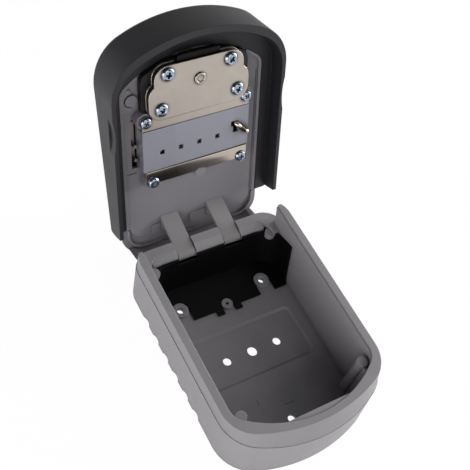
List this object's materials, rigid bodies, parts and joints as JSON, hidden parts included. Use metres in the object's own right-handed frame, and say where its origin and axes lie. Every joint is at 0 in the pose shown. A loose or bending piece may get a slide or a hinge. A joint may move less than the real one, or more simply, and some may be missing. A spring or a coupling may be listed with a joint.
{
  "type": "wall key box",
  "caption": "Wall-mounted key box with a number-dial door lock: cast body with wall screw holes and a hinged weather-covered door, shown open.",
  "frame": {"origin": "middle wall screw hole, on the back face that lies on the wall", "axes": "+Z out of the wall, +Y from the latch end to the hinge end, +X to the right seen from the front with +Y up; stored with the door open"},
  "size_m": [0.1056, 0.2126, 0.1523],
  "materials": {
    "body_grey": "satin powder coat",
    "tray_grey": "satin powder coat",
    "cover_black": "matt, lightly grained",
    "slider_black": "satin",
    "liner_black": "satin",
    "nickel": "bright nickel plate",
    "zinc": "blue zinc plate",
    "steel": "plain steel",
    "cover_plastic": "semi-gloss moulded",
    "dial_black": "semi-gloss with pale numbers"
  },
  "bodies": {
    "box": {"body_shell": "body_grey", "hinge_liner": "liner_black", "hinge_pin": "steel"},
    "door": {"door_tray": "tray_grey", "hinge_arm_left": "body_grey", "hinge_arm_right": "body_grey", "weather_cover": "cover_black", "lock_housing": "liner_black", "lock_plate": "nickel", "lock_plate_lower": "nickel", "lock_rivet": "nickel", "lock_screws": "zinc", "dial_bracket_upper": "nickel", "dial_bracket_lower": "nickel", "dial_cover": "cover_plastic", "dial_shaft": "steel", "bracket_screws": "zinc"},
    "bolt": {"latch_bolt": "steel"},
    "opener": {"open_slider": "slider_black", "side_link": "steel"},
    "reset": {"reset_lever": "steel"},
    "dial_1": {"dial_1": "dial_black"},
    "dial_2": {"dial_2": "dial_black"},
    "dial_3": {"dial_3": "dial_black"},
    "dial_4": {"dial_4": "dial_black"}
  },
  "joints": [
    {"name": "door_hinge", "type": "hinge", "parent": "box", "child": "door", "pos_m": [0, 0.0654, 0.0228], "axis": [1, 0, 0], "range_deg": [0, 108]},
    {"name": "open_slide", "type": "slide", "parent": "door", "child": "opener", "axis": [0, -0.309, -0.9511], "range_m": [0, 0.0042], "stiffness_N_per_m": 200, "springref_m": -0.004},
    {"name": "bolt_slide", "type": "slide", "parent": "door", "child": "bolt", "axis": [0, -0.309, -0.9511], "range_m": [0, 0.0042], "stiffness_N_per_m": 200, "springref_m": -0.004},
    {"name": "reset_turn", "type": "hinge", "parent": "door", "child": "reset", "pos_m": [0.0246, 0.10023, 0.08729], "axis": [0, 0.9511, -0.309], "range_deg": [0, 30]},
    {"name": "dial_1_turn", "type": "hinge", "parent": "door", "child": "dial_1", "pos_m": [-0.0223, 0.10788, 0.07944], "axis": [1, 0, 0], "continuous": true},
    {"name": "dial_2_turn", "type": "hinge", "parent": "door", "child": "dial_2", "pos_m": [-0.01063, 0.10788, 0.07944], "axis": [1, 0, 0], "continuous": true},
    {"name": "dial_3_turn", "type": "hinge", "parent": "door", "child": "dial_3", "pos_m": [0.00104, 0.10788, 0.07944], "axis": [1, 0, 0], "continuous": true},
    {"name": "dial_4_turn", "type": "hinge", "parent": "door", "child": "dial_4", "pos_m": [0.01271, 0.10788, 0.07944], "axis": [1, 0, 0], "continuous": true}
  ],
  "couplings": [
    {"joint": "bolt_slide", "follows": "open_slide", "ratio": 1}
  ]
}
